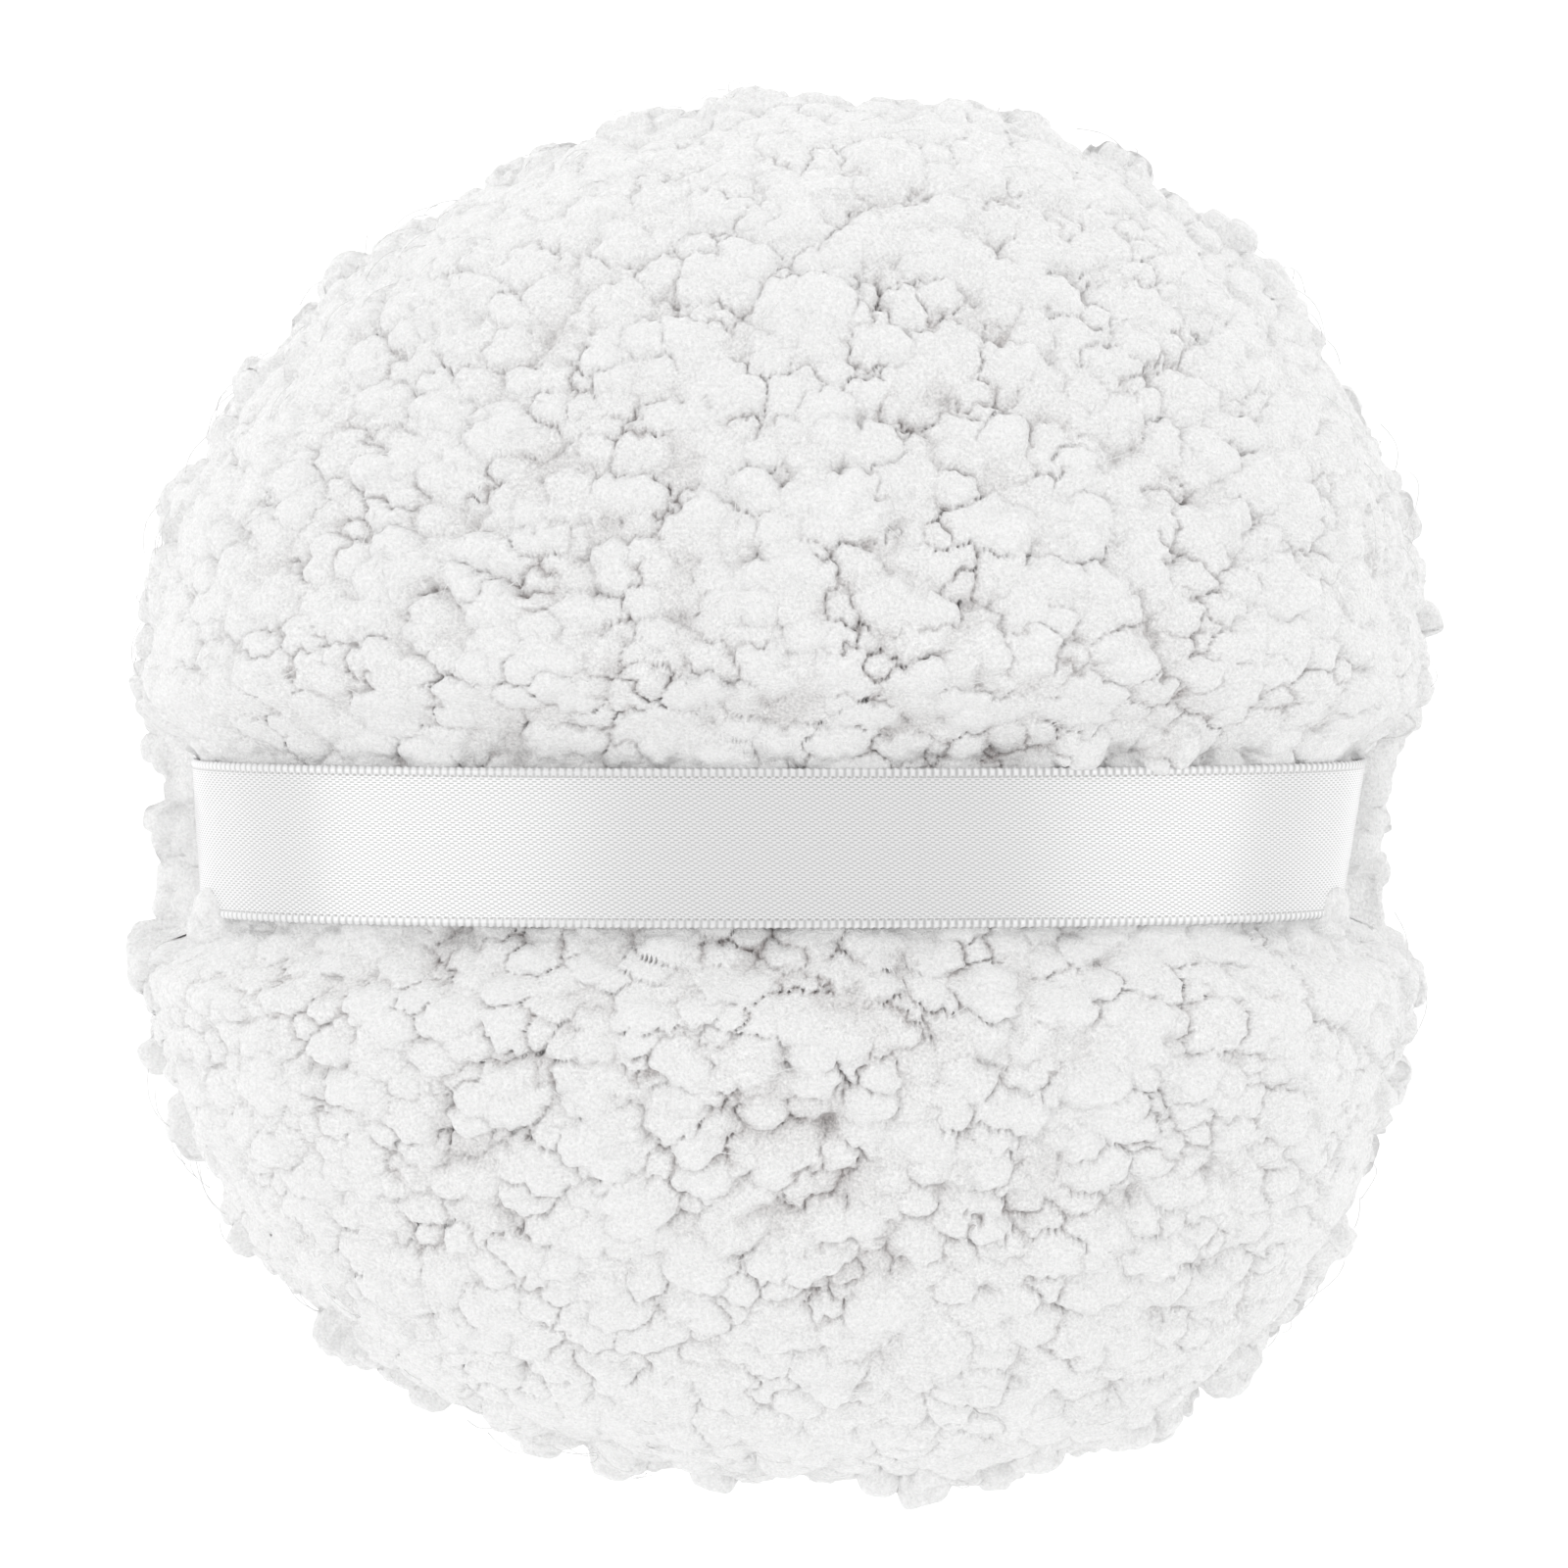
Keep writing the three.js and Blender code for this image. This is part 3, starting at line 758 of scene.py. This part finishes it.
def ground(name, side, material):
    """A half's knitted ground: a thin dome, with the seam allowance turned in at its foot."""
    columns = 128
    outer = dome_rows(side, GROUND_INSET, CLOTH_LEVEL, columns)
    allowance = turned_rows(side, [ALLOWANCE_INSET] * 2, [CLOTH_LEVEL, ALLOWANCE_LEVEL], columns)
    inner = dome_rows(side, GROUND_INSET + GROUND_THICKNESS, ALLOWANCE_LEVEL, columns)[::-1]
    points = np.vstack([outer, allowance, inner])
    points[..., 2] = np.maximum(points[..., 2], TABLE + 0.5)
    faces = tube_faces(len(points), columns)
    faces = faces if side < 0 else faces[:, ::-1]
    piece = new_piece(name, points.reshape(-1, 3), faces, material)
    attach(piece, "puff")
    return piece


def wad(name, rng, material):
    """The filling: a lumpy body in both halves, narrow where it passes between the seam allowances."""
    columns = 96
    inset, foot = FILLING_INSET + 0.2, FILLING_LEVEL + 0.1
    back = dome_rows(1, inset, foot, columns, rows=36)
    neck = turned_rows(1, [ALLOWANCE_INSET + 0.5] * 2, [foot, -foot], columns)
    face = dome_rows(-1, inset, foot, columns, rows=36)[::-1]
    points = np.vstack([back, neck, face])
    points *= 1 - WAD_LUMPS * (1 + ripple(rng, points, WAD_LUMP_SIZE))[..., None].clip(0, 2)
    faces = tube_faces(len(points), columns)[:, ::-1]
    piece = new_piece(name, points.reshape(-1, 3), faces, material)
    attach(piece, "puff")
    return piece


# Materials


class Shader:
    """A new material, with short ways to add nodes to it and to link them."""

    def __init__(self, name, roughness, specular=0.2):
        self.material = bpy.data.materials.new(name)
        self.material.use_nodes = True
        self.tree = self.material.node_tree
        self.surface = self.tree.nodes["Principled BSDF"]
        self.surface.inputs["Roughness"].default_value = roughness
        self.surface.inputs["Specular IOR Level"].default_value = specular

    @classmethod
    def of_tree(cls, tree, surface):
        """The same ways for a tree that is there already, about the node of the name."""
        made = cls.__new__(cls)
        made.tree = tree
        made.surface = tree.nodes[surface]
        return made

    def node(self, kind, output=0, settings=None, **inputs):
        """A node's output, with its inputs set to values or linked to other outputs.

        Inputs go by their names, or by i and their number.
        """
        made = self.tree.nodes.new("ShaderNode" + kind)
        for key, value in (settings or {}).items():
            setattr(made, key, value)
        for key, value in inputs.items():
            numbered = key[0] == "i" and key[1:].isdigit()
            socket = made.inputs[int(key[1:]) if numbered else key]
            if isinstance(value, bpy.types.NodeSocket):
                self.tree.links.new(value, socket)
            else:
                socket.default_value = value
        return made.outputs[output]

    def math(self, operation, *values):
        """A Math node's output, from values or outputs."""
        inputs = {f"i{k}": value for k, value in enumerate(values)}
        return self.node("Math", settings={"operation": operation}, **inputs)

    def noise(self, place, scale, detail=2.0, roughness=0.5):
        """Noise of so many lumps to the metre."""
        return self.node("TexNoise", Vector=place, Scale=scale, Detail=detail, Roughness=roughness)

    def shades(self, factor, *stops):
        """A colour that runs through tints at stops of a factor."""
        made = self.tree.nodes.new("ShaderNodeValToRGB")
        ramp = made.color_ramp
        while len(ramp.elements) < len(stops):
            ramp.elements.new(0.5)
        for element, (position, colour) in zip(ramp.elements, stops):
            element.position = position
            element.color = (*colour, 1)
        self.tree.links.new(factor, made.inputs["Fac"])
        return made.outputs["Color"]

    def bump(self, relief, strength, distance):
        """Bumps in the surface as high as the relief says."""
        self.link(self.node("Bump", "Normal", Strength=strength, Distance=distance, Height=relief), "Normal")

    def link(self, output, socket):
        """An output made one of the surface's inputs."""
        self.tree.links.new(output, self.surface.inputs[socket])


def fleece_material():
    """Felted white pile: fine grain as bump and tone, painted shading darker and grittier low down, with a
    sheen.
    """
    shader = Shader("fleece", roughness=1, specular=0.05)
    place = shader.node("TexCoord", "Object")
    painted_shade = shader.node("Attribute", "Fac", {"attribute_name": "painted_shade"})
    felt = shader.noise(place, 5000, detail=3, roughness=0.6)
    mottle = shader.noise(place, 300, detail=2)
    # The tone is the painted shading plus a random mottle
    tone = shader.math("ADD", painted_shade, shader.math("MULTIPLY_ADD", mottle, 0.06, 0.65))
    # Ramp of painted shading: darkest in pits, grey in creases, lighter on slopes, lightest on tops
    pit_painted_shade = (0.44, 0.39, 0.385)
    crease_painted_shade = (0.65, 0.63, 0.625)
    slope = (0.88, 0.878, 0.876)
    top = (0.93, 0.93, 0.93)
    colour = shader.shades(tone, (0.0, pit_painted_shade), (0.3, crease_painted_shade), (0.6, slope), (1.0, top))
    # How far the painted shading darkens, which roughens the grain there
    painted_darkness = shader.math("MAXIMUM", shader.math("MULTIPLY", painted_shade, -1), 0)
    grit = shader.math("MULTIPLY_ADD", painted_darkness, 2.5, 0.5)
    grain = shader.math("MULTIPLY_ADD", shader.math("SUBTRACT", felt, 0.5), grit, 1)
    grained = shader.node("VectorMath", 0, {"operation": "SCALE"}, Vector=colour, Scale=grain)
    shader.link(grained, "Base Color")
    shader.bump(felt, 0.8, 0.0002)
    shader.surface.inputs["Sheen Weight"].default_value = 0.25
    shader.surface.inputs["Sheen Roughness"].default_value = 0.4
    return shader.material


def satin_material():
    """White satin: dull dashes in rows among glossy floats, each row set on from the last, and corded edges.

    The dashes are where a sine along the row and one across it are both high, and take away from the gloss.
    The cords are beaded by a sine along them, with a row of small dark holes inside.
    """
    shader = Shader("satin", roughness=0.34, specular=0.7)
    shader.surface.inputs["IOR"].default_value = 1.8
    place = shader.node("UVMap", 0, {"uv_map": "weave"})
    along = shader.node("SeparateXYZ", "X", Vector=place)
    across = shader.node("SeparateXYZ", "Y", Vector=place)
    lane = shader.math("DIVIDE", across, FLOAT_WIDTH)
    set_on = shader.math("MULTIPLY", shader.math("FLOOR", lane), FLOAT_OFFSET)
    step = shader.math("FRACT", shader.math("MULTIPLY_ADD", along, 1 / FLOAT_LENGTH, set_on))
    crown = shader.math("SINE", shader.math("MULTIPLY", step, math.pi))
    yarn = shader.math("SINE", shader.math("MULTIPLY", shader.math("FRACT", lane), math.pi))
    dash = shader.math("MULTIPLY", shader.math("SUBTRACT", shader.math("MINIMUM", crown, yarn), 0.45), 3.0)
    dash = shader.math("MINIMUM", shader.math("MAXIMUM", dash, 0), 1)
    apart = shader.math("SUBTRACT", shader.math("ABSOLUTE", across), STRAP_WIDTH / 2 - SELVEDGE)
    beat = shader.math("SINE", shader.math("MULTIPLY", along, WHOLE_TURN / SELVEDGE_PITCH))
    near = shader.math("MULTIPLY_ADD", shader.math("ABSOLUTE", apart), -9, 1)
    hole = shader.math("MULTIPLY", shader.math("MAXIMUM", near, 0), shader.math("MAXIMUM", beat, 0))
    corded = shader.math("GREATER_THAN", apart, 0)
    dash = shader.math("MULTIPLY", dash, shader.math("SUBTRACT", 1, corded))
    cord = shader.math("MULTIPLY", corded, shader.math("MULTIPLY_ADD", beat, 0.15, -0.05))
    cloth = shader.math("ADD", shader.math("MULTIPLY_ADD", dash, -0.2, 0.6), cord)
    tone = shader.math("SUBTRACT", cloth, shader.math("MULTIPLY", hole, 0.5))
    dark, dull, float_top = (0.4, 0.385, 0.38), (0.5, 0.5, 0.5), (0.83, 0.83, 0.835)
    shader.link(shader.shades(tone, (0.1, dark), (0.4, dull), (0.6, float_top)), "Base Color")
    shader.link(shader.math("MULTIPLY_ADD", dash, -0.7, 0.95), "Specular IOR Level")
    shader.bump(tone, 0.05, 0.00005)
    shader.surface.inputs["Anisotropic"].default_value = 0.6
    shader.surface.inputs["Anisotropic Rotation"].default_value = 0.25
    shader.link(shader.node("Tangent", 0, {"direction_type": "UV_MAP", "uv_map": "weave"}), "Tangent")
    return shader.material


def knit_material():
    """Plain white knit: rows of loops in two directions as bump and tone."""
    shader = Shader("knit", roughness=0.95)
    place = shader.node("TexCoord", "Object")
    along, across = {"bands_direction": "X"}, {"bands_direction": "Y"}
    loops = shader.node("TexWave", "Fac", along, Vector=place, Scale=420.0, Distortion=2.0)
    courses = shader.node("TexWave", "Fac", across, Vector=place, Scale=520.0, Distortion=1.5)
    relief = shader.math("MULTIPLY", loops, courses)
    shader.link(shader.shades(relief, (0.0, (0.5, 0.49, 0.48)), (0.6, (0.74, 0.73, 0.72))), "Base Color")
    shader.bump(relief, 0.6, 0.0003)
    return shader.material


def fibre_material():
    """White stuffing: crossed streaks of fibre as bump and tone."""
    shader = Shader("fibre", roughness=1)
    place = shader.node("TexCoord", "Object")
    stretched = shader.node("Mapping", 0, Vector=place, Scale=(1.0, 0.25, 0.6))
    streaks = shader.noise(stretched, 900, detail=5, roughness=0.7)
    shader.link(shader.shades(streaks, (0.3, (0.74, 0.74, 0.73)), (0.65, (0.86, 0.86, 0.85))), "Base Color")
    shader.bump(streaks, 0.8, 0.0006)
    return shader.material


def thread_material():
    """White sewing thread: slanting plies as bump and tone."""
    shader = Shader("thread", roughness=0.6)
    place = shader.node("TexCoord", "Object")
    slanting = {"bands_direction": "DIAGONAL"}
    plies = shader.node("TexWave", "Fac", slanting, Vector=place, Scale=1300.0, Distortion=0.4)
    shader.link(shader.shades(plies, (0.1, (0.68, 0.67, 0.65)), (0.6, (0.84, 0.84, 0.82))), "Base Color")
    shader.bump(plies, 0.7, 0.0001)
    return shader.material


# Putting the puff together

random = np.random.default_rng(11)
fleece = fleece_material()
(back_fleece, face_fleece), surface, out, painted_shade = fleece_halves(random, fleece)
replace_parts(back_fleece, "back_pile")
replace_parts(face_fleece, "face_pile")
loose_fibres("loose_fibres", random, surface, out, painted_shade, fleece)

knit = knit_material()
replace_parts(ground("back_knit", 1, knit), "back_ground")
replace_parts(ground("face_knit", -1, knit), "face_ground")
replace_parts(wad("stuffing", random, fibre_material()), "filling")

satin = satin_material()
strap_middle = ribbon("strap_middle", -SPAN_RUN, SPAN_RUN, SPAN_RAISE, satin)
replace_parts(strap_middle, "strap_span")
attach(strap_middle, "strap")
under, tip = SPAN_RUN - RIBBON_LAP, PATH_RUN[-1]
strap_right = ribbon("strap_right", under, tip, 0, satin)
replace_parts(strap_right, "strap_right_arm")
strap_left = ribbon("strap_left", -tip, -under, 0, satin)
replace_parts(strap_left, "strap_left_arm")
for arm, ahead in ((strap_right, 1), (strap_left, -1)):
    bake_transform(arm)

thread = thread_material()
for node in ("seam_thread", "closing_thread"):
    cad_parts[node].data.materials.clear()
    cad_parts[node].data.materials.append(thread)


# Stage


def area_lamp(name, across, up, width, length, power):
    """A soft box that looks at the puff, so many degrees from straight above towards plus X and plus Y."""
    light = bpy.data.lights.new(name, "AREA")
    light.shape = "RECTANGLE"
    light.size, light.size_y = width, length
    light.energy = power
    lamp = bpy.data.objects.new(name, light)
    way = Vector((math.tan(math.radians(across)), math.tan(math.radians(up)), 1)).normalized()
    lamp.location = way * LAMP_DISTANCE
    lamp.rotation_euler = way.to_track_quat("Z", "Y").to_euler()
    bpy.context.scene.collection.objects.link(lamp)


def stage():
    """A white floor that glows a little, a white sky that is brighter low down, and soft boxes on four sides.

    The sky's strength is that overhead, plus a gain by the square of the sine of the angle from straight up.
    """
    scene = bpy.context.scene
    scene.view_settings.view_transform = "Standard"
    mesh = bpy.data.meshes.new("floor")
    mesh.from_pydata([(-3, -3, 0), (3, -3, 0), (3, 3, 0), (-3, 3, 0)], [], [(0, 1, 2, 3)])
    floor = bpy.data.objects.new("floor", mesh)
    scene.collection.objects.link(floor)
    shader = Shader("floor", roughness=1)
    shader.surface.inputs["Base Color"].default_value = (FLOOR_TONE, FLOOR_TONE, FLOOR_TONE, 1)
    shader.surface.inputs["Emission Color"].default_value = (1, 1, 1, 1)
    shader.surface.inputs["Emission Strength"].default_value = FLOOR_GLOW
    mesh.materials.append(shader.material)
    world = bpy.data.worlds.new("studio")
    scene.world = world
    world.use_nodes = True
    sky = Shader.of_tree(world.node_tree, "Background")
    height = sky.node("SeparateXYZ", "Z", Vector=sky.node("TexCoord", "Generated"))
    level = sky.math("SUBTRACT", 1, sky.math("MULTIPLY", height, height))
    sky.link(sky.math("MULTIPLY_ADD", level, SKY_GAIN, SKY_OVERHEAD), "Strength")
    sky.surface.inputs["Color"].default_value = (1, 1, 1, 1)
    for lamp in LAMPS:
        area_lamp(*lamp)


def camera():
    """The photograph's camera, almost straight above, with the puff where the photograph has it."""
    data = bpy.data.cameras.new("camera")
    data.sensor_width = SENSOR
    data.lens = SENSOR * CAMERA_DISTANCE * PIXELS_PER_MM / IMAGE_SIDE
    data.clip_start, data.clip_end = 0.01, 10
    eye = bpy.data.objects.new("camera", data)
    aim_x = (IMAGE_SIDE / 2 - PUFF_IN_IMAGE[0]) / PIXELS_PER_MM
    aim_y = (PUFF_IN_IMAGE[1] - IMAGE_SIDE / 2) / PIXELS_PER_MM
    back_off = Vector((0, math.sin(CAMERA_TILT), math.cos(CAMERA_TILT))) * CAMERA_DISTANCE
    eye.location = (Vector((aim_x, aim_y, SEAM_HEIGHT)) + back_off) / METRE
    eye.rotation_euler = (-CAMERA_TILT, 0, 0)
    bpy.context.scene.collection.objects.link(eye)
    bpy.context.scene.camera = eye


stage()
camera()
